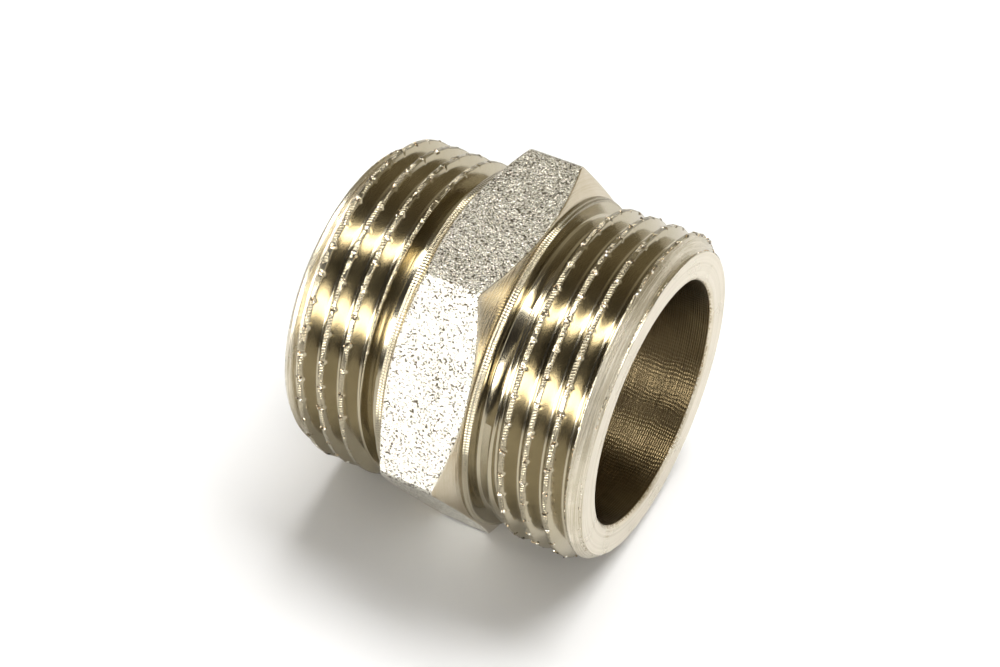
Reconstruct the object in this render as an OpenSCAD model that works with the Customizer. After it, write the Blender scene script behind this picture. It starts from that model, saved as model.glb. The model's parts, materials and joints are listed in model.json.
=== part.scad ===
// Hex nipple: one forged and turned piece with a male pipe thread on each end, a hexagon between
// them and a plain bore right through. The axis lies along X, +Z is up, the part rests on one flat
// of its hexagon, and the origin is the middle of the hexagon on the axis. Lengths in millimetres.

/* [Threads] */
// Diameter over the thread crests: 33.25 is a one inch parallel pipe thread
thread_major_d = 33.25; // [26:0.05:42]
// Depth from the thread crests to the roots, on one side
thread_depth = 1.48; // [0.85:0.01:1.8]
// Distance from the foot of the hexagon's chamfer to the end face, on each end
thread_reach = 11.8; // [8:0.1:16]
// Length of the starting chamfer on each end, along the axis
start_chamfer_len = 1.55; // [0.8:0.05:2.5]
// How far the end face's outer edge stands above the thread roots
start_chamfer_lip = 0.13; // [0:0.01:0.4]

/* [Hexagon] */
// How far each flat stands above the thread crests
flat_rise = 0.375; // [0.25:0.005:4]
// Width of the hexagon along the axis, between the feet of its two turned chamfers
hex_w = 8.4; // [5:0.1:16]
// Slope of the turned chamfers, from a plane across the axis
hex_chamfer_angle = 28; // [20:1:40]
// How much is turned off each sharp corner of the hexagon
corner_trim = 0.14; // [0.05:0.01:0.6]

/* [Collars] */
// How far the collar lies below the flats
collar_drop = 0.15; // [0.05:0.01:0.2]
// Width of each of the collar's turned lands
collar_land_w = 0.38; // [0.2:0.01:0.8]
// Number of turned lands that step down towards the neck
collar_lands = 2; // [1:1:3]
// Step down from one land to the next
collar_step = 0.12; // [0.04:0.01:0.2]

/* [Relief necks] */
// Width of the neck's floor, where the thread runs out
neck_floor_w = 0.85; // [0.4:0.05:2]
// How far the neck's floor lies below the thread roots
neck_drop = 0.1; // [0:0.01:0.3]
// Radius between the neck's floor and its collar
neck_fillet_r = 0.4; // [0.1:0.05:0.7]
// Length of the slope from the neck's floor up to the thread crests
neck_slope_len = 0.65; // [0.3:0.05:1.4]

/* [Bore] */
// Wall between the bore and the thread roots
wall_t = 2.75; // [1.5:0.05:5]
// Chamfer at each mouth of the bore
mouth_chamfer = 0.35; // [0.1:0.05:1]

/* [Hidden] */

NICKEL = [0.74, 0.71, 0.65];
TURNED_FACETS = 192;
FILLET_STEPS = 6;
OVERCUT = 1;

crest_r = thread_major_d / 2;
root_r = crest_r - thread_depth;
bore_r = root_r - wall_t;
end_x = hex_w / 2 + thread_reach;
end_face_r = root_r + start_chamfer_lip;

flat_r = crest_r + flat_rise;
corner_r = flat_r / cos(30) - corner_trim;
collar_r = flat_r - collar_drop;
collar_x = hex_w / 2;
rim_x = collar_x - (corner_r - collar_r) * tan(hex_chamfer_angle);
neck_x = collar_x + collar_lands * collar_land_w;
neck_r = root_r - neck_drop;
slope_x = neck_x + neck_fillet_r + neck_floor_w;
thread_x = slope_x + neck_slope_len;

// The collar's lands as [radius, x] corners, from the hexagon outwards
function collar_corners() = [
    for (i = [0 : collar_lands - 1], side = [0, 1])
        [collar_r - i * collar_step, collar_x + (i + side) * collar_land_w]
];

// The rounded foot of the collar, down to the neck's floor
function neck_fillet() = [
    for (i = [0 : FILLET_STEPS])
        let (a = 90 * i / FILLET_STEPS)
            [neck_r + neck_fillet_r * (1 - sin(a)), neck_x + neck_fillet_r * (1 - cos(a))]
];

// Outside of the +X end as [radius, x] corners, from the hexagon's rim to the mouth of the bore
function end_outline() = concat(
    [[corner_r, rim_x]],
    collar_corners(),
    neck_fillet(),
    [
        [neck_r, slope_x],
        [crest_r, thread_x],
        [crest_r, end_x - start_chamfer_len],
        [end_face_r, end_x],
        [bore_r + mouth_chamfer, end_x],
        [bore_r, end_x - mouth_chamfer]
    ]
);

// An outline mirrored to the -X end, in the order that carries on round the section
function mirrored(outline) = [
    for (i = [len(outline) - 1 : -1 : 0])
        [outline[i][0], -outline[i][1]]
];

// The turned form: both ends, with a plain rim where the hexagon will be, and the bore through it
module turned_body() {
    rotate([0, 90, 0])
        rotate_extrude($fn = TURNED_FACETS)
            polygon(concat(end_outline(), mirrored(end_outline())));
}

// A hexagonal bar with a flat at the bottom, longer than the part
module hexagon_bar() {
    rotate([0, 90, 0])
        rotate([0, 0, 30])
            cylinder(h = 2 * (end_x + OVERCUT), r = flat_r / cos(30), center = true, $fn = 6);
}

// The flats cut only the rim and its two chamfers, which run out on them in curved edges,
// because everything else on the part lies below the flats
module nipple_body() {
    color(NICKEL)
        intersection() {
            turned_body();
            hexagon_bar();
        }
}

nipple_body();
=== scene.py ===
"""Looks of a hex nipple: a forged hexagon between two turned, threaded ends, nickel plated.

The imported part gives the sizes. A blank is turned for each end, Geometry Nodes cut the pipe thread
into it and knock the hemp nicks into the crests, and the hexagon is forged between them.
Lengths are in metres, written as millimetres times MM, and angles are in degrees until used.
"""

import json
import math

import bpy
import numpy as np
from mathutils import Matrix, Vector


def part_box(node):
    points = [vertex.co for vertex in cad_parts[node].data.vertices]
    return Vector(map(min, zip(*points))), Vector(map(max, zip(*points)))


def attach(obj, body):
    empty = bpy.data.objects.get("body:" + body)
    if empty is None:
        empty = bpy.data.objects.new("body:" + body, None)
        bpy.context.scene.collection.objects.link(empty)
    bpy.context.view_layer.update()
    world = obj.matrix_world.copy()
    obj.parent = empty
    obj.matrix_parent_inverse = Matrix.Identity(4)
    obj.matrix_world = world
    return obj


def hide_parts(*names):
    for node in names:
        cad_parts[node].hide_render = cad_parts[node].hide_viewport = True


MM = 0.001

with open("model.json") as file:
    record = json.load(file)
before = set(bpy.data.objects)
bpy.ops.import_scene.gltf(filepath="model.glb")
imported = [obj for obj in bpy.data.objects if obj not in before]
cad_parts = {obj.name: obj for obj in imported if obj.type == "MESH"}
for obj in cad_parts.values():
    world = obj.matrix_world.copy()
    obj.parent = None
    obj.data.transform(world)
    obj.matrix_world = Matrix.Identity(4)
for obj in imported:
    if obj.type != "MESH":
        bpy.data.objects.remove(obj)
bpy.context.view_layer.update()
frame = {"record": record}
_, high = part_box("nipple_body")
mounts = {mount["name"]: mount for mount in frame["record"]["mounts"]}

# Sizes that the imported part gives
END_X = high.x
CORNER_R = high.y
FLAT_R = high.z
CREST_R = mounts["thread_right"]["dims"]["r_mm"] * MM
BORE_R = mounts["bore"]["dims"]["r_mm"] * MM

# Thread, taken as a one inch parallel pipe thread with 55 degree flanks
PITCH = 2.309 * MM
THREAD_DEPTH = 1.48 * MM
FLANK_SLOPE = math.tan(math.radians(27.5))
CREST_FLAT = 0.44 * MM
CREST_ROUND = 0.10 * MM
ROOT_ROUND = 0.36 * MM
ROOT_R = CREST_R - THREAD_DEPTH
RIGHT_START = 8.27 * MM - PITCH / 2
LEFT_START = 8.80 * MM

# Start chamfer, end face and bore mouth
CHAMFER_LEN = 1.55 * MM
FACE_R = ROOT_R + 0.13 * MM
MOUTH = 0.35 * MM

# Hexagon, collars and relief necks
HEX_FOOT_X = 4.2 * MM
CHAMFER_SLOPE = math.tan(math.radians(28))
COLLAR_R = FLAT_R - 0.15 * MM
LAND_W = 0.38 * MM
LAND_STEP = 0.12 * MM
NECK_R = ROOT_R - 0.10 * MM
NECK_FILLET = 0.40 * MM
NECK_FLOOR_W = 0.85 * MM
NECK_SLOPE_LEN = 0.65 * MM
SLOPE_W = NECK_FLOOR_W + NECK_SLOPE_LEN

# Working of the crests: nicks that hold the hemp, burrs they throw up, and beads of tool chatter
NICKS_PER_TURN = 39
NICK_WIDTH = 0.22 * MM
NICK_DEPTH = 0.10 * MM
BURRS_PER_NICK = 7
BURR_SIZE = 0.26 * MM
EDGE_CRUMBS = 560
BEADS_PER_TURN = 360

# Where torn crumbs lie: the chamfer's shoulder, and the end face's rim
SHOULDER_ALONG = 0.14 * MM
SHOULDER_DROP = 0.10 * MM
SHOULDER_SEED = 31
RIM_BACK = 0.22 * MM
RIM_RISE = 0.13 * MM
RIM_SEED = 41

# Forged flats: depth of their grain, and how far the flats drop at their ends
GRAIN_DEPTH = 0.02 * MM
FLAT_END_DROP = 0.012 * MM
WEAR_REACH = 0.16 * MM

# Fineness of the meshes
CORNER_EASE = 0.02 * MM
MERGE_DISTANCE = 0.0005 * MM
COLUMNS = 760
HEX_COLUMNS = 1200

# Numbers that the faces carry for their finish: first an end's, then the hexagon's
TURNED, FACED, BORED, TORN = range(4)
FORGED, CHAMFERED = range(2)

# Colours of the plate, of what shows through it, and of painted shade
NICKEL = (0.60, 0.545, 0.43)
BLASTED = (0.52, 0.495, 0.425)
SPARKLE = (0.90, 0.88, 0.81)
WORN = (0.62, 0.54, 0.36)
# Plate on the threads: the plate's olive tint, painted darker as painted shade for the dim
# reflections in its grooves
THREAD_NICKEL_PAINTED_SHADE = (0.39, 0.345, 0.245)
THREAD_NICKEL_PAINTED_HALF_SHADE = (0.45, 0.40, 0.29)
# Painted shade for the low places of the crests' specks and beads
CREST_VALLEY_PAINTED_SHADE = (0.15, 0.12, 0.075)
NICKEL_PALE = (0.72, 0.66, 0.55)
NICKEL_BROWN = (0.40, 0.32, 0.20)
# Inside the bore: the plate's own brown, painted darker as painted shade for the inside of the bore
BORE_BROWN_AND_SHADE = (0.092, 0.066, 0.032)
BORE_TAN_AND_SHADE = (0.20, 0.15, 0.078)
PIT = (0.07, 0.055, 0.035)
BRASS = (0.50, 0.37, 0.22)


# ---------------------------------------------------------------- node sums

class Wire:
    """An output of a node tree, on which sums are written as plain arithmetic."""

    def __init__(self, tree, socket):
        self.tree = tree
        self.socket = socket

    def sum_node(self, operation, *others):
        node = self.tree.nodes.new("ShaderNodeMath")
        node.operation = operation
        for slot, value in zip(node.inputs, (self, *others)):
            plug(self.tree, value, slot)
        return Wire(self.tree, node.outputs[0])

    def __add__(self, other):
        return self.sum_node("ADD", other)

    def __sub__(self, other):
        return self.sum_node("SUBTRACT", other)

    def __mul__(self, other):
        return self.sum_node("MULTIPLY", other)

    def __rsub__(self, other):
        return self * -1.0 + other

    def __truediv__(self, other):
        return self.sum_node("DIVIDE", other)

    def at_least(self, other):
        return self.sum_node("MAXIMUM", other)

    def at_most(self, other):
        return self.sum_node("MINIMUM", other)

    def eased_at_least(self, other, easing):
        return self.sum_node("SMOOTH_MAX", other, easing)

    def eased_at_most(self, other, easing):
        return self.sum_node("SMOOTH_MIN", other, easing)

    def above(self, other):
        return self.sum_node("GREATER_THAN", other)

    def below(self, other):
        return self.sum_node("LESS_THAN", other)

    def size(self):
        return self.sum_node("ABSOLUTE")

    def fraction(self):
        return self.sum_node("FRACT")

    def whole(self):
        return self.sum_node("FLOOR")

    def root(self):
        return self.sum_node("SQRT")

    def cosine(self):
        return self.sum_node("COSINE")

    def sine(self):
        return self.sum_node("SINE")

    def mapped(self, low, high, to_low=0.0, to_high=1.0, smooth=False):
        node = self.tree.nodes.new("ShaderNodeMapRange")
        node.interpolation_type = "SMOOTHSTEP" if smooth else "LINEAR"
        for name, value in (
            ("Value", self),
            ("From Min", low),
            ("From Max", high),
            ("To Min", to_low),
            ("To Max", to_high),
        ):
            plug(self.tree, value, node.inputs[name])
        return Wire(self.tree, node.outputs["Result"])


def plug(tree, value, slot):
    """Joins a wire to an input, or writes a plain value on it."""
    if isinstance(value, Wire):
        tree.links.new(value.socket, slot)
    else:
        slot.default_value = value


def split(tree, vector):
    """The x, y and z of a vector wire."""
    node = tree.nodes.new("ShaderNodeSeparateXYZ")
    plug(tree, vector, node.inputs[0])
    return [Wire(tree, out) for out in node.outputs]


def joined(tree, x, y, z):
    """A vector wire from three sums."""
    node = tree.nodes.new("ShaderNodeCombineXYZ")
    for slot, value in zip(node.inputs, (x, y, z)):
        plug(tree, value, slot)
    return Wire(tree, node.outputs[0])


def round_axis(tree, place):
    """Distance along the bore's axis, distance from it, and angle round it, of a place."""
    x, y, z = split(tree, place)
    return x, (y * y + z * z).root(), z.sum_node("ARCTAN2", y)


# ---------------------------------------------------------------- blanks

def eased_outline(corners, radius, steps=3):
    """An outline of (x, r) corners with each inner corner rounded."""
    points = [corners[0]]
    for before, corner, after in zip(corners, corners[1:], corners[2:]):
        before, corner, after = (np.array(p) for p in (before, corner, after))
        into, out = before - corner, after - corner
        reach = min(radius, 0.45 * np.linalg.norm(into), 0.45 * np.linalg.norm(out))
        start = corner + into / np.linalg.norm(into) * reach
        end = corner + out / np.linalg.norm(out) * reach
        for i in range(steps + 1):
            t = i / steps
            points.append(tuple((1 - t) ** 2 * start + 2 * t * (1 - t) * corner + t * t * end))
    points.append(corners[-1])
    return points


def collar_outline():
    """Outline from the hexagon's foot over the collar's lands and down the fillet to the neck."""
    neck_x = HEX_FOOT_X + 2 * LAND_W
    corners = [
        (HEX_FOOT_X, COLLAR_R),
        (HEX_FOOT_X + LAND_W, COLLAR_R),
        (HEX_FOOT_X + LAND_W + LAND_STEP / 2, COLLAR_R - LAND_STEP),
        (neck_x, COLLAR_R - LAND_STEP),
        (neck_x, NECK_R + NECK_FILLET),
    ]
    outline = eased_outline(corners, 0.06 * MM)
    for angle in (22.5, 45, 67.5, 90):
        a = math.radians(angle)
        outline.append(
            (neck_x + NECK_FILLET * (1 - math.cos(a)), NECK_R + NECK_FILLET * (1 - math.sin(a)))
        )
    return outline


def blank_outline():
    """Outline of the bar before threading, from the neck's floor to the end face."""
    slope_x = HEX_FOOT_X + 2 * LAND_W + NECK_FILLET + NECK_FLOOR_W
    corners = [
        (slope_x - NECK_FLOOR_W, NECK_R),
        (slope_x, NECK_R),
        (slope_x + NECK_SLOPE_LEN, CREST_R),
        (END_X - CHAMFER_LEN, CREST_R),
        (END_X, FACE_R),
    ]
    return eased_outline(corners, 0.12 * MM)


def thread_rows():
    """Places across one pitch, from the middle of a crest, where rows follow the helix."""
    half = [0.0, 0.13, 0.20, 0.27, 0.55, 0.86, 0.98, 1.07]
    return sorted([place * MM for place in half] + [PITCH - place * MM for place in half[1:]])


def closed_tube(name, rows, finishes, flipped=False):
    """A tube from rows of (x, r) round the axis, its faces marked with the rows' finishes."""
    x = np.array([row[0] for row in rows])
    r = np.array([row[1] for row in rows])
    wide = x.shape[1]
    angles = np.linspace(0, 2 * math.pi, wide)
    places = np.stack([x, r * np.cos(angles), r * np.sin(angles)], axis=-1).reshape(-1, 3)
    row_index, column = np.meshgrid(np.arange(len(rows) - 1), np.arange(wide - 1), indexing="ij")
    first = (row_index * wide + column).ravel()
    faces = np.stack([first, first + 1, first + wide + 1, first + wide], axis=-1)
    if flipped:
        faces = faces[:, [0, 3, 2, 1]]
    mesh = bpy.data.meshes.new(name)
    mesh.from_pydata(places.tolist(), [], faces.tolist())
    marks = mesh.attributes.new("finish", "INT", "FACE")
    face_finish = np.maximum(np.array(finishes)[:-1], np.array(finishes)[1:])
    marks.data.foreach_set("value", np.repeat(face_finish, wide - 1).astype(np.int32))
    piece = bpy.data.objects.new(name, mesh)
    bpy.context.scene.collection.objects.link(piece)
    return piece


def turned_blank(name, crest_start):
    """A closed tube for one end along +X, its thread rows already lying along the helix."""
    angles = np.linspace(0, 2 * math.pi, COLUMNS + 1)
    rows, finishes = [], []

    def ring(x, r, finish):
        rows.append((np.full_like(angles, x), np.full_like(angles, r)))
        finishes.append(finish)

    for x, r in collar_outline():
        ring(x, r, TURNED)
    blank = np.array(blank_outline())
    start_x = blank[1][0]
    ring(start_x, NECK_R, TURNED)
    turn = -1 - math.ceil((crest_start - start_x) / PITCH)
    while crest_start + turn * PITCH < END_X:
        for place in thread_rows():
            x = crest_start + turn * PITCH + place + PITCH * angles / (2 * math.pi)
            x = np.clip(x, start_x, END_X)
            if x.max() > start_x and x.min() < END_X:
                rows.append((x, np.interp(x, blank[:, 0], blank[:, 1])))
                finishes.append(TURNED)
        turn += 1
    ring(END_X, FACE_R, TURNED)
    mouth_r = BORE_R + MOUTH
    ring(END_X, FACE_R - 0.05 * MM, FACED)
    for r in np.linspace(FACE_R - 0.3 * MM, mouth_r + 0.06 * MM, 5):
        ring(END_X, r, FACED)
    mouth = [
        (END_X, mouth_r + 0.05 * MM),
        (END_X, mouth_r),
        (END_X - MOUTH, BORE_R),
        (END_X - 2 * MOUTH, BORE_R),
    ]
    for x, r in eased_outline(mouth, 0.05 * MM):
        ring(x, r, FACED if r > BORE_R + 0.02 * MM else BORED)
    ring(HEX_FOOT_X + 3 * CORNER_EASE, BORE_R, BORED)
    ring(HEX_FOOT_X + CORNER_EASE, BORE_R, BORED)
    ring(HEX_FOOT_X, BORE_R + CORNER_EASE, BORED)
    ring(HEX_FOOT_X, COLLAR_R - CORNER_EASE, BORED)
    ring(HEX_FOOT_X, COLLAR_R, BORED)
    return closed_tube(name, rows, finishes)


# ---------------------------------------------------------------- geometry trees

def geometry_tree(name, lengths):
    """A geometry tree with one named input for each length, and the wires of its inputs."""
    tree = bpy.data.node_groups.new(name, "GeometryNodeTree")
    tree.interface.new_socket("Geometry", in_out="INPUT", socket_type="NodeSocketGeometry")
    for label in lengths:
        tree.interface.new_socket(label, in_out="INPUT", socket_type="NodeSocketFloat")
    tree.interface.new_socket("Geometry", in_out="OUTPUT", socket_type="NodeSocketGeometry")
    entry = tree.nodes.new("NodeGroupInput")
    return tree, {out.name: Wire(tree, out) for out in entry.outputs if out.name}


def noise(tree, place, scale, detail=2.0, roughness=0.5, fourth=None):
    """A noise wire over a place."""
    node = tree.nodes.new("ShaderNodeTexNoise")
    node.noise_dimensions = "4D" if fourth is not None else "3D"
    plug(tree, place, node.inputs["Vector"])
    if fourth is not None:
        plug(tree, fourth, node.inputs["W"])
    node.inputs["Scale"].default_value = scale
    node.inputs["Detail"].default_value = detail
    node.inputs["Roughness"].default_value = roughness
    return Wire(tree, node.outputs["Fac"])


def cells(tree, place, scale):
    """A value for each small cell of space, and the distance from the cell's middle."""
    node = tree.nodes.new("ShaderNodeTexVoronoi")
    plug(tree, place, node.inputs["Vector"])
    node.inputs["Scale"].default_value = scale
    value, _, _ = split(tree, Wire(tree, node.outputs["Color"]))
    return value, Wire(tree, node.outputs["Distance"])


def finish_tree(tree, geometry, finishes):
    """Merges the seams and sets each face's material, as the tree's last steps."""
    merge = tree.nodes.new("GeometryNodeMergeByDistance")
    merge.inputs["Distance"].default_value = MERGE_DISTANCE
    tree.links.new(geometry, merge.inputs["Geometry"])
    realize = tree.nodes.new("GeometryNodeRealizeInstances")
    tree.links.new(merge.outputs[0], realize.inputs[0])
    last = realize.outputs[0]
    mark = tree.nodes.new("GeometryNodeInputNamedAttribute")
    mark.data_type = "INT"
    mark.inputs["Name"].default_value = "finish"
    for number, material in enumerate(finishes):
        chosen = tree.nodes.new("FunctionNodeCompare")
        chosen.data_type = "INT"
        chosen.operation = "EQUAL"
        ints = [slot for slot in chosen.inputs if slot.type == "INT"]
        marked = [out for out in mark.outputs if out.type == "INT" and out.enabled]
        tree.links.new(marked[0], ints[0])
        ints[1].default_value = number
        coat = tree.nodes.new("GeometryNodeSetMaterial")
        coat.inputs["Material"].default_value = material
        tree.links.new(last, coat.inputs["Geometry"])
        tree.links.new(chosen.outputs[0], coat.inputs["Selection"])
        last = coat.outputs[0]
    leave = tree.nodes.new("NodeGroupOutput")
    tree.links.new(last, leave.inputs[0])
    return tree


def depth_of_thread(given, x, turns):
    """Pitches along from the first crest, and how deep the thread lies under the crests there."""
    along = (x - given["Crest start"]) / given["Pitch"] - turns
    off_crest = ((along + 0.5).fraction() - 0.5).size() * given["Pitch"]
    depth = ((off_crest - given["Crest flat"] / 2) / FLANK_SLOPE).eased_at_least(0.0, CREST_ROUND)
    return along, depth.eased_at_most(given["Depth"], ROOT_ROUND)


def thread_tree(finishes):
    """Cuts the helical thread into a blank and knocks nicks and burrs into its crests."""
    tree, given = geometry_tree(
        "Cut the thread",
        ["Pitch", "Depth", "Crest radius", "Crest start", "Crest flat", "Thread foot",
         "Thread end", "Nicks per turn", "Nick width", "Nick depth", "Burrs per nick",
         "Burr size", "Edge crumbs", "Half turn"],
    )
    place = Wire(tree, tree.nodes.new("GeometryNodeInputPosition").outputs[0])
    x, r, angle = round_axis(tree, place)
    turns = angle / (2 * math.pi)
    along, depth = depth_of_thread(given, x, turns)
    # Nicks across the crests
    length_along = (along + 0.5).whole() + turns
    nick = (length_along * given["Nicks per turn"]).fraction()
    nick_number = (length_along * given["Nicks per turn"]).whole()
    wobble = noise(tree, joined(tree, x, nick_number, 0.0), 1.7)
    off_nick = ((nick - 0.5 - (wobble - 0.5) * 0.5).size()
                * (given["Crest radius"] * (2 * math.pi)) / given["Nicks per turn"])
    notch = off_nick.mapped(0.0, given["Nick width"], given["Nick depth"], 0.0, smooth=True)
    thread = (given["Crest radius"] - depth).at_most(given["Crest radius"] - notch)
    is_thread = x.above(given["Thread foot"]) * r.above(NECK_R - 0.01 * MM)
    cut = r.at_most(thread)
    new_r = r + (cut - r) * is_thread
    scale = new_r / r
    move = tree.nodes.new("GeometryNodeSetPosition")
    _, y, z = split(tree, place)
    tree.links.new(given["Geometry"].socket, move.inputs["Geometry"])
    plug(tree, joined(tree, x, y * scale, z * scale), move.inputs["Position"])
    join = tree.nodes.new("GeometryNodeJoinGeometry")
    tree.links.new(nick_burrs(tree, given), join.inputs[0])
    shoulder_x = given["Thread end"] + SHOULDER_ALONG
    shoulder_r = given["Crest radius"] - SHOULDER_DROP
    shoulder = edge_burrs(tree, given, shoulder_x, shoulder_r, SHOULDER_SEED)
    tree.links.new(shoulder, join.inputs[0])
    rim_x = given["Thread end"] + (CHAMFER_LEN - RIM_BACK)
    rim = edge_burrs(tree, given, rim_x, FACE_R + RIM_RISE, RIM_SEED)
    tree.links.new(rim, join.inputs[0])
    tree.links.new(move.outputs[0], join.inputs[0])
    turned = tree.nodes.new("GeometryNodeTransform")
    tree.links.new(join.outputs[0], turned.inputs["Geometry"])
    plug(tree, joined(tree, 0.0, 0.0, given["Half turn"] * math.pi), turned.inputs["Rotation"])
    return finish_tree(tree, turned.outputs[0], finishes)


def chance(tree, low, high, seed, vector=False):
    """A random wire, the same on every run."""
    node = tree.nodes.new("FunctionNodeRandomValue")
    node.data_type = "FLOAT_VECTOR" if vector else "FLOAT"
    kind = "VECTOR" if vector else "VALUE"
    ends = [slot for slot in node.inputs if slot.type == kind and slot.name in ("Min", "Max")]
    low_slot, high_slot = ends[:2]
    low_slot.default_value = low
    high_slot.default_value = high
    node.inputs["Seed"].default_value = seed
    return Wire(tree, [out for out in node.outputs if out.type == kind][0])


def crumbs(tree, count, spot, size, chosen, seed):
    """Small lumps of metal, each turned and squashed its own way, at (x, r, angle) spots."""
    x, r, angle = spot
    points = tree.nodes.new("GeometryNodePoints")
    plug(tree, count, points.inputs["Count"])
    move = tree.nodes.new("GeometryNodeSetPosition")
    tree.links.new(points.outputs[0], move.inputs["Geometry"])
    plug(tree, joined(tree, x, r * angle.cosine(), r * angle.sine()), move.inputs["Position"])
    crumb = tree.nodes.new("GeometryNodeMeshIcoSphere")
    crumb.inputs["Subdivisions"].default_value = 1
    plug(tree, size, crumb.inputs["Radius"])
    place = tree.nodes.new("GeometryNodeInstanceOnPoints")
    tree.links.new(move.outputs[0], place.inputs["Points"])
    tree.links.new(crumb.outputs["Mesh"], place.inputs["Instance"])
    plug(tree, chosen, place.inputs["Selection"])
    spin = chance(tree, (0.0, 0.0, 0.0), (6.28, 6.28, 6.28), seed, vector=True)
    plug(tree, spin, place.inputs["Rotation"])
    squash = chance(tree, (0.30, 0.25, 0.35), (1.0, 0.8, 1.35), seed + 1, vector=True)
    plug(tree, squash, place.inputs["Scale"])
    realize = tree.nodes.new("GeometryNodeRealizeInstances")
    tree.links.new(place.outputs[0], realize.inputs[0])
    mark = tree.nodes.new("GeometryNodeStoreNamedAttribute")
    mark.data_type = "INT"
    mark.domain = "FACE"
    mark.inputs["Name"].default_value = "finish"
    mark.inputs["Value"].default_value = TORN
    tree.links.new(realize.outputs[0], mark.inputs["Geometry"])
    return mark.outputs[0]


def nick_burrs(tree, given):
    """Burrs thrown up beside each nick, along the crests."""
    number = Wire(tree, tree.nodes.new("GeometryNodeInputIndex").outputs[0])
    nick = (number / given["Burrs per nick"]).whole()
    turns = (nick + 0.5 + chance(tree, -0.085, 0.085, 3)) / given["Nicks per turn"]
    x = given["Crest start"] + given["Pitch"] * turns + chance(tree, -0.20 * MM, 0.24 * MM, 5)
    r = given["Crest radius"] - given["Burr size"] * chance(tree, 0.30, 0.9, 7)
    turns_run = (given["Thread end"] - given["Crest start"]) / given["Pitch"] + 1.0
    return crumbs(
        tree,
        given["Nicks per turn"] * given["Burrs per nick"] * turns_run,
        (x, r, turns * (2 * math.pi)),
        given["Burr size"],
        x.above(given["Thread foot"] + SLOPE_W) * x.below(given["Thread end"]),
        11,
    )


def edge_burrs(tree, given, x, r, seed):
    """A torn line of crumbs round a turned edge."""
    angle = chance(tree, 0.0, 2 * math.pi, seed)
    patchy = noise(tree, joined(tree, angle.cosine(), angle.sine(), float(seed)), 2.2)
    away = chance(tree, -0.09 * MM, 0.09 * MM, seed + 1)
    x = x + away
    _, depth = depth_of_thread(given, x, angle / (2 * math.pi))
    return crumbs(
        tree,
        given["Edge crumbs"],
        (x, (r - away * 0.8).at_most(given["Crest radius"] - depth), angle),
        given["Burr size"] * 0.38,
        patchy.above(0.46),
        seed + 2,
    )


def made_by(piece, tree, sizes):
    """Runs a tree on a piece with its sizes, and keeps the result as the piece's plain mesh."""
    modifier = piece.modifiers.new(tree.name, "NODES")
    modifier.node_group = tree
    inputs = [item for item in tree.interface.items_tree if item.in_out == "INPUT"]
    names = {item.name: item.identifier for item in inputs}
    for label, value in sizes.items():
        modifier[names[label]] = float(value)
    depsgraph = bpy.context.evaluated_depsgraph_get()
    mesh = bpy.data.meshes.new_from_object(piece.evaluated_get(depsgraph), depsgraph=depsgraph)
    piece.modifiers.remove(modifier)
    blank = piece.data
    piece.data = mesh
    bpy.data.meshes.remove(blank)
    mesh.name = piece.name
    mesh.shade_smooth()
    return piece


def threaded_end(name, tree, crest_start, half_turn):
    """One threaded end, turned, threaded and nicked."""
    return made_by(
        turned_blank(name, crest_start),
        tree,
        {
            "Pitch": PITCH,
            "Depth": THREAD_DEPTH,
            "Crest radius": CREST_R,
            "Crest start": crest_start,
            "Crest flat": CREST_FLAT,
            "Thread foot": HEX_FOOT_X + 2 * LAND_W + NECK_FILLET,
            "Thread end": END_X - CHAMFER_LEN,
            "Burrs per nick": BURRS_PER_NICK,
            "Burr size": BURR_SIZE,
            "Edge crumbs": EDGE_CRUMBS,
            "Nicks per turn": NICKS_PER_TURN,
            "Nick width": NICK_WIDTH,
            "Nick depth": NICK_DEPTH,
            "Half turn": half_turn,
        },
    )


# ---------------------------------------------------------------- hexagon

def hexagon_blank(name):
    """The hexagon as a closed tube: two turned chamfers that run out on six flats, and the bore."""
    angles = np.linspace(0, 2 * math.pi, HEX_COLUMNS + 1)
    # Corners lie at 0, 60, 120 ... degrees, so the middle of a flat is half way between them
    off_flat = np.abs((angles / math.radians(60)) % 1 - 0.5) * math.radians(60)
    flat = np.minimum(FLAT_R / np.cos(off_flat), CORNER_R)
    edge_x = HEX_FOOT_X - (flat - COLLAR_R) * CHAMFER_SLOPE
    rows, finishes = [], []

    def row(x, r, finish):
        rows.append((x + 0 * angles, r + 0 * angles))
        finishes.append(finish)

    cone = np.array([0.0, 0.3, 0.7, 0.92])
    for share in cone:
        cone_r = COLLAR_R + (flat - COLLAR_R) * share
        row(HEX_FOOT_X + (edge_x - HEX_FOOT_X) * share, cone_r, CHAMFERED)
    for share in np.linspace(0.99, -0.99, 41):
        row(edge_x * share, flat - (FLAT_END_DROP if abs(share) > 0.985 else 0), FORGED)
    for share in cone[::-1]:
        cone_r = COLLAR_R + (flat - COLLAR_R) * share
        row(-HEX_FOOT_X - (edge_x - HEX_FOOT_X) * share, cone_r, CHAMFERED)
    for side in (-1, 1):
        walls = [
            (HEX_FOOT_X, COLLAR_R - CORNER_EASE),
            (HEX_FOOT_X, BORE_R + CORNER_EASE),
            (HEX_FOOT_X - CORNER_EASE, BORE_R),
            (HEX_FOOT_X - 3 * CORNER_EASE, BORE_R),
        ]
        for x, r in walls[::-side]:
            row(side * x, r, BORED)
    row(HEX_FOOT_X, COLLAR_R, BORED)
    return closed_tube(name, rows, finishes, flipped=True)


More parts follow.
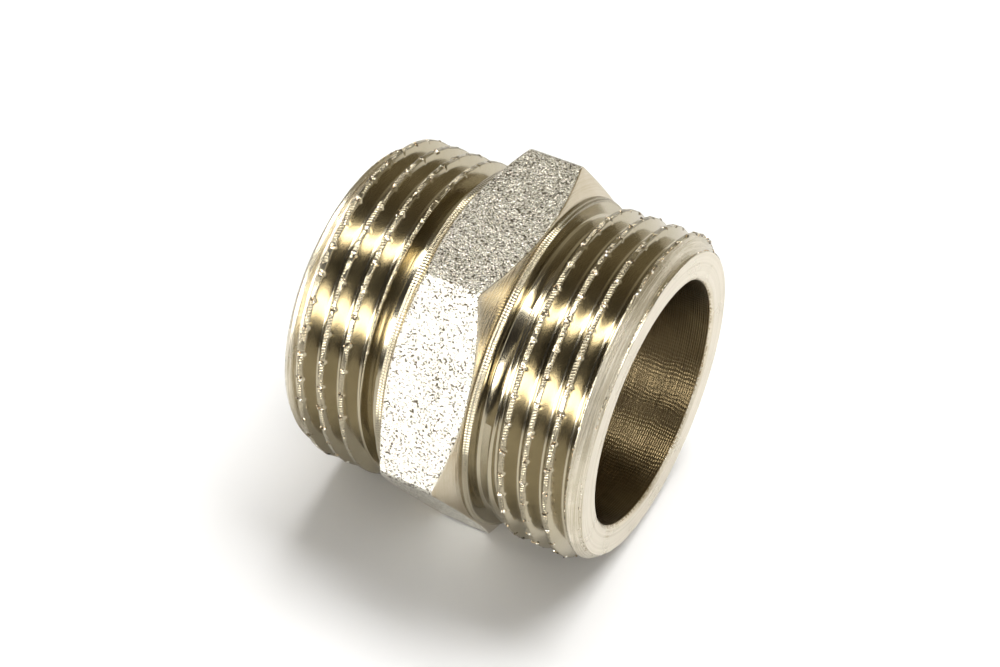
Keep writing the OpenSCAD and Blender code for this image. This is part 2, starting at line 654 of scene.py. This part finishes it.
def hexagon_tree(finishes):
    """Roughens the forged flats a little, inwards."""
    tree, given = geometry_tree("Forge the flats", ["Grain"])
    place = Wire(tree, tree.nodes.new("GeometryNodeInputPosition").outputs[0])
    x, y, z = split(tree, place)
    _, r, _ = round_axis(tree, place)
    grain = noise(tree, place, 3200.0, detail=3.0, roughness=0.6)
    is_flat = r.above(FLAT_R * 0.999)
    scale = (r - grain * given["Grain"] * is_flat) / r
    move = tree.nodes.new("GeometryNodeSetPosition")
    tree.links.new(given["Geometry"].socket, move.inputs["Geometry"])
    plug(tree, joined(tree, x, y * scale, z * scale), move.inputs["Position"])
    return finish_tree(tree, move.outputs[0], finishes)


# ---------------------------------------------------------------- finishes

def material(name):
    """An empty metal material and its tree and shader."""
    made = bpy.data.materials.new(name)
    made.use_nodes = True
    tree = made.node_tree
    shader = tree.nodes["Principled BSDF"]
    shader.inputs["Metallic"].default_value = 1.0
    return made, tree, shader


def object_place(tree):
    return Wire(tree, tree.nodes.new("ShaderNodeTexCoord").outputs["Object"])


def colours(tree, share, stops):
    """A colour wire that runs through stops of (place, colour) as share goes from 0 to 1."""
    node = tree.nodes.new("ShaderNodeValToRGB")
    ramp = node.color_ramp
    while len(ramp.elements) < len(stops):
        ramp.elements.new(0.5)
    for element, (where, colour) in zip(ramp.elements, stops):
        element.position = where
        element.color = (*colour, 1)
    plug(tree, share, node.inputs[0])
    return Wire(tree, node.outputs[0])


def bumped(tree, height, distance, strength=1.0):
    node = tree.nodes.new("ShaderNodeBump")
    node.inputs["Strength"].default_value = strength
    node.inputs["Distance"].default_value = distance
    plug(tree, height, node.inputs["Height"])
    return Wire(tree, node.outputs["Normal"])


def coated(tree, shader, colour, roughness, normal):
    """Gives a shader its colour, roughness and fine relief."""
    plug(tree, colour, shader.inputs["Base Color"])
    plug(tree, roughness, shader.inputs["Roughness"])
    plug(tree, normal, shader.inputs["Normal"])


def turning_group():
    """Fine grooves that a lathe leaves, as a height from 0 to 1, running round the bore's axis."""
    tree = bpy.data.node_groups.new("Turning grooves", "ShaderNodeTree")
    tree.interface.new_socket("Fineness", in_out="INPUT", socket_type="NodeSocketFloat")
    tree.interface.new_socket("Drift", in_out="INPUT", socket_type="NodeSocketFloat")
    tree.interface.new_socket("Height", in_out="OUTPUT", socket_type="NodeSocketFloat")
    entry = tree.nodes.new("NodeGroupInput")
    fineness, drift = (Wire(tree, out) for out in entry.outputs[:2])
    x, r, angle = round_axis(tree, object_place(tree))
    groove = noise(
        tree,
        joined(tree, x * fineness, r * fineness, angle.cosine() * drift),
        1.0,
        detail=3.0,
        roughness=0.6,
        fourth=angle.sine() * drift,
    )
    leave = tree.nodes.new("NodeGroupOutput")
    plug(tree, groove, leave.inputs[0])
    return tree


def turning(tree, group, fineness, drift):
    node = tree.nodes.new("ShaderNodeGroup")
    node.node_tree = group
    node.inputs["Fineness"].default_value = fineness
    node.inputs["Drift"].default_value = drift
    return Wire(tree, node.outputs["Height"])


def edge_wear_group():
    """How worn a place on the hexagon is: 1 on its edges, fading out unevenly over a short way."""
    tree = bpy.data.node_groups.new("Edge wear", "ShaderNodeTree")
    tree.interface.new_socket("Reach", in_out="INPUT", socket_type="NodeSocketFloat")
    tree.interface.new_socket("Wear", in_out="OUTPUT", socket_type="NodeSocketFloat")
    reach = Wire(tree, tree.nodes.new("NodeGroupInput").outputs[0])
    place = object_place(tree)
    x, r, angle = round_axis(tree, place)
    off_flat = ((angle / math.radians(60)).fraction() - 0.5) * math.radians(60)
    from_flat = r * off_flat.cosine() * -1.0 + FLAT_R
    from_cone = (r - COLLAR_R) * -CHAMFER_SLOPE + HEX_FOOT_X - x.size()
    from_edge = (from_flat.size() + from_cone.size()).at_most((r * -1.0 + CORNER_R).size() * 3.0)
    uneven = reach * noise(tree, place, 900.0, detail=3.0).mapped(0.25, 0.75, 0.2, 1.8)
    leave = tree.nodes.new("NodeGroupOutput")
    plug(tree, (from_edge / uneven).mapped(1.0, 0.0, smooth=True), leave.inputs[0])
    return tree


def worn(tree, group):
    node = tree.nodes.new("ShaderNodeGroup")
    node.node_tree = group
    node.inputs["Reach"].default_value = WEAR_REACH
    return Wire(tree, node.outputs["Wear"])


def cloud_wander(tree, place):
    """A slow wandering phase, so that chatter marks don't run dead straight."""
    return noise(tree, place, 500.0, detail=1.0) * 14.0


def turned_nickel(group):
    """Bright plate over a turned thread: fine grooves, and beads on the crests and collars. Its
    colours are painted darker than the plate as painted shade for the dim grooves, and the crests
    darker still in the low places of their specks and beads.
    """
    made, tree, shader = material("turned_nickel")
    place = object_place(tree)
    x, r, angle = round_axis(tree, place)
    grooves = turning(tree, group, 12000.0, 0.7)
    cloud = noise(tree, place, 300.0, detail=3.0)
    on_rim = r.mapped(CREST_R - 0.13 * MM, CREST_R - 0.04 * MM, smooth=True)
    on_collar = x.size().below(HEX_FOOT_X + 2 * LAND_W + 0.01 * MM) * on_rim
    on_crest = on_rim - on_collar
    patches = noise(tree, joined(tree, x * 1500.0, angle.cosine() * 9.0, angle.sine() * 9.0), 1.0)
    slant = x * 9000.0
    rough = on_crest * patches.mapped(0.42, 0.60, smooth=True)
    bead = (angle * float(BEADS_PER_TURN) + slant).cosine() * rough
    speck = noise(tree, place, 7000.0, detail=2.0)
    on_chamfer = x.size().mapped(END_X - CHAMFER_LEN, END_X - CHAMFER_LEN + 0.2 * MM)
    hatch = (angle * 420.0 + x * 12000.0).cosine() * (angle * 420.0 - x * 12000.0).cosine()
    scratches = turning(tree, group, 15000.0, 2.5)
    height = (
        grooves * (on_chamfer * 0.2 + 0.03)
        + scratches * on_chamfer * 2.2
        + bead * 3.0
        + (angle * float(BEADS_PER_TURN)).cosine() * on_collar * 1.6
        + (speck - 0.5) * (rough * 3.2 + on_crest * 0.5) * (1.0 - on_chamfer)
        + hatch * on_chamfer * 0.35
    )
    worked = on_crest * (1.0 - on_chamfer)
    # Painted shade: crests darker where their specks and beads lie low, lighter on the bead tops
    shade = (
        cloud.mapped(0.3, 0.8, 0.30, 0.60) * (1.0 - worked)
        + worked * (speck.mapped(0.40, 0.70) * 0.35 + 0.14 + bead * 0.12)
        + on_chamfer * scratches.mapped(0.3, 0.6, 0.0, 0.5)
    )
    # Painted shade: the thread's plate darkened, and darkest in the low places of the crests
    stops = [
        (0.0, CREST_VALLEY_PAINTED_SHADE),
        (0.30, THREAD_NICKEL_PAINTED_SHADE),
        (0.60, THREAD_NICKEL_PAINTED_HALF_SHADE),
        (0.85, NICKEL),
        (1.0, NICKEL_PALE),
    ]
    coated(
        tree,
        shader,
        colours(tree, shade, stops),
        cloud.mapped(0.2, 0.8, 0.14, 0.19) + on_crest * 0.08 + on_chamfer * 0.10,
        bumped(tree, height, 0.014 * MM),
    )
    return made


def faced_nickel(group):
    """Plate over the end faces and bore mouths, where the tool's rings show."""
    made, tree, shader = material("faced_nickel")
    place = object_place(tree)
    _, r, _ = round_axis(tree, place)
    grooves = turning(tree, group, 6000.0, 0.25)
    at_mouth = r.mapped(BORE_R + MOUTH, BORE_R + 0.1 * MM)
    speck = noise(tree, place, 4200.0, detail=2.0)
    cloud = noise(tree, place, 260.0, detail=3.0)
    rings = turning(tree, group, 3000.0, 0.15)
    shade = (
        cloud.mapped(0.3, 0.75, 0.65, 1.0)
        - rings.mapped(0.45, 0.60, 0.0, 0.28)
        - at_mouth * speck.mapped(0.60, 0.40, 0.1, 0.5)
    )
    stops = [(0.0, BORE_BROWN_AND_SHADE), (0.35, NICKEL_BROWN), (0.5, NICKEL), (1.0, NICKEL_PALE)]
    coated(
        tree,
        shader,
        colours(tree, shade, stops),
        cloud.mapped(0.2, 0.8, 0.24, 0.34),
        bumped(tree, grooves + rings + speck * at_mouth, 0.04 * MM),
    )
    return made


def bored_nickel(group):
    """Thin brown plate inside the bore, its brown painted darker still as painted shade, over the
    boring tool's regular feed marks.
    """
    made, tree, shader = material("bored_nickel")
    place = object_place(tree)
    x, _, angle = round_axis(tree, place)
    grooves = turning(tree, group, 5000.0, 0.6)
    feed = (x * (2 * math.pi / (0.23 * MM)) + grooves * 3.0).cosine()
    chatter = (angle * 190.0 + cloud_wander(tree, place)).cosine()
    cloud = noise(tree, place, 200.0, detail=3.0)
    # Painted shade: the bore's brown plate darkened for the shade inside the bore
    coated(
        tree,
        shader,
        colours(tree, cloud, [(0.3, BORE_BROWN_AND_SHADE), (0.75, BORE_TAN_AND_SHADE)]),
        cloud.mapped(0.2, 0.8, 0.26, 0.36),
        bumped(tree, grooves * 0.5 + feed * 0.6 + chatter * 0.25, 0.026 * MM),
    )
    return made


def torn_nickel():
    """Torn burrs: plate broken here and there down to the brass, and dark in the creases."""
    made, tree, shader = material("torn_nickel")
    place = object_place(tree)
    patch = noise(tree, place, 2600.0, detail=2.0)
    stops = [(0.45, PIT), (0.50, BRASS), (0.55, NICKEL), (0.64, SPARKLE)]
    coated(
        tree,
        shader,
        colours(tree, patch, stops),
        patch.mapped(0.3, 0.7, 0.30, 0.12),
        bumped(tree, noise(tree, place, 9000.0), 0.05 * MM),
    )
    return made


def forged_nickel(wear):
    """Plate over the blasted forging: a fine bright grain with small dark pits."""
    made, tree, shader = material("forged_nickel")
    place = object_place(tree)
    grain = noise(tree, place, 8000.0, detail=1.0, roughness=0.6)
    cell, hollow = cells(tree, place, 7200.0)
    broad = noise(tree, place, 420.0, detail=3.0)
    shade = (cell + (broad - 0.5) * 0.25).at_least(0.0) * (1.0 - worn(tree, wear) * 0.35)
    coated(
        tree,
        shader,
        colours(tree, shade, [(0.13, PIT), (0.20, BLASTED), (0.80, BLASTED), (0.90, SPARKLE)]),
        grain.mapped(0.3, 0.7, 0.22, 0.34),
        bumped(tree, grain + cell * 0.3 - hollow * 0.3, 0.085 * MM),
    )
    return made


def chamfered_nickel(group, wear):
    """Plate over the hexagon's turned chamfers, with coarser rings than the thread's."""
    made, tree, shader = material("chamfered_nickel")
    place = object_place(tree)
    grooves = turning(tree, group, 8000.0, 1.2)
    cloud = noise(tree, place, 260.0, detail=4.0)
    shade = cloud * 0.5 + grooves * 0.25 + worn(tree, wear) * 0.35
    coated(
        tree,
        shader,
        colours(tree, shade, [(0.2, NICKEL_BROWN), (0.5, NICKEL), (0.8, WORN)]),
        cloud.mapped(0.2, 0.8, 0.16, 0.30),
        bumped(tree, grooves, 0.030 * MM),
    )
    return made


# ---------------------------------------------------------------- studio

CAMERA_PLACE = (62.96 * MM, -107.33 * MM, 131.73 * MM)
CAMERA_RIGHT = (0.87074, 0.49121, -0.02297)
CAMERA_UP = (-0.34097, 0.63676, 0.69157)
CAMERA_LENS = 66.68
FLOOR_REACH = 3.0


def camera():
    made = bpy.data.cameras.new("camera")
    made.lens = CAMERA_LENS
    made.sensor_width = 36
    made.clip_start = 0.01
    made.clip_end = 20
    placed = bpy.data.objects.new("camera", made)
    right, up = Vector(CAMERA_RIGHT).normalized(), Vector(CAMERA_UP)
    back = right.cross(up).normalized()
    up = back.cross(right)
    turn = Matrix((right, up, back)).transposed().to_4x4()
    placed.matrix_world = Matrix.Translation(CAMERA_PLACE) @ turn
    bpy.context.scene.collection.objects.link(placed)
    bpy.context.scene.camera = placed


def softbox(name, direction, distance, long_side, length, width, radiance):
    """A softbox facing the object from a direction, its long side along the axis given."""
    direction = Vector(direction).normalized()
    light = bpy.data.lights.new(name, "AREA")
    light.shape = "RECTANGLE"
    light.size = length
    light.size_y = width
    light.energy = radiance * math.pi * length * width
    placed = bpy.data.objects.new(name, light)
    up = direction.cross(Vector(long_side)).normalized()
    right = up.cross(direction)
    placed.matrix_world = (
        Matrix.Translation(direction * distance)
        @ Matrix((right, up, direction)).transposed().to_4x4()
    )
    bpy.context.scene.collection.objects.link(placed)
    return placed


def over_axis(height, lean):
    """A direction at an angle over +Y as seen along the bore, leaning off that plane towards +X."""
    height, lean = math.radians(height), math.radians(lean)
    return (
        math.sin(lean),
        math.cos(lean) * math.cos(height),
        math.cos(lean) * math.sin(height),
    )


def floor():
    mesh = bpy.data.meshes.new("floor")
    corners = [(-1, -1), (1, -1), (1, 1), (-1, 1)]
    places = [(x * FLOOR_REACH, y * FLOOR_REACH, -FLAT_R) for x, y in corners]
    mesh.from_pydata(places, [], [(0, 1, 2, 3)])
    placed = bpy.data.objects.new("floor", mesh)
    paper = bpy.data.materials.new("floor_paper")
    paper.use_nodes = True
    shader = paper.node_tree.nodes["Principled BSDF"]
    shader.inputs["Base Color"].default_value = (0.9, 0.9, 0.9, 1)
    shader.inputs["Roughness"].default_value = 0.9
    shader.inputs["Specular IOR Level"].default_value = 0.1
    mesh.materials.append(paper)
    bpy.context.scene.collection.objects.link(placed)


def dim_room():
    """A dark warm room, a little lighter towards the back."""
    world = bpy.data.worlds.new("dim_room")
    world.use_nodes = True
    tree = world.node_tree
    place = Wire(tree, tree.nodes.new("ShaderNodeTexCoord").outputs["Generated"])
    _, back, _ = split(tree, place)
    shade = colours(
        tree,
        back.mapped(-0.2, 1.0),
        [
            (0.0, (0.012, 0.009, 0.004)),
            (0.35, (0.05, 0.04, 0.022)),
            (0.55, (0.20, 0.17, 0.11)),
            (0.85, (0.50, 0.46, 0.36)),
        ],
    )
    plug(tree, shade, tree.nodes["Background"].inputs["Color"])
    bpy.context.scene.world = world


def studio():
    bpy.context.scene.view_settings.view_transform = "Standard"
    dim_room()
    along = (1, 0, 0)
    cards = [
        softbox("top_strip", over_axis(94, -8), 1.5, along, 3.2, 0.25, 20.0),
        softbox("front_strip", over_axis(151, -18), 1.5, along, 2.6, 0.42, 15.5),
        softbox("right_wall", (0.85, -0.06, 0.33), 1.5, (0, 1, 0), 1.9, 0.95, 1.15),
    ]
    for card in cards:
        card.visible_diffuse = False
    lamps = [
        softbox("back_lamp", (0.14, 0.40, 1.0), 1.5, along, 1.1, 0.7, 10.5),
        softbox("overhead_lamp", (0.10, 0.0, 1.0), 1.5, along, 1.8, 1.0, 0.7),
        softbox("front_lamp", (0.50, -0.70, 0.85), 1.5, (1, 1, 0), 0.9, 0.9, 2.6),
    ]
    for lamp in lamps:
        lamp.visible_glossy = False
    floor()
    camera()


# ---------------------------------------------------------------- the nipple

grooves, wear = turning_group(), edge_wear_group()
turned, faced, bored = turned_nickel(grooves), faced_nickel(grooves), bored_nickel(grooves)
thread = thread_tree((turned, faced, bored, torn_nickel()))
pieces = [
    threaded_end("right_end", thread, RIGHT_START, 0),
    threaded_end("left_end", thread, LEFT_START, 1),
    made_by(
        hexagon_blank("hexagon"),
        hexagon_tree((forged_nickel(wear), chamfered_nickel(grooves, wear), bored)),
        {"Grain": GRAIN_DEPTH},
    ),
]
for piece in pieces:
    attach(piece, "root")
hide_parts("nipple_body")
studio()
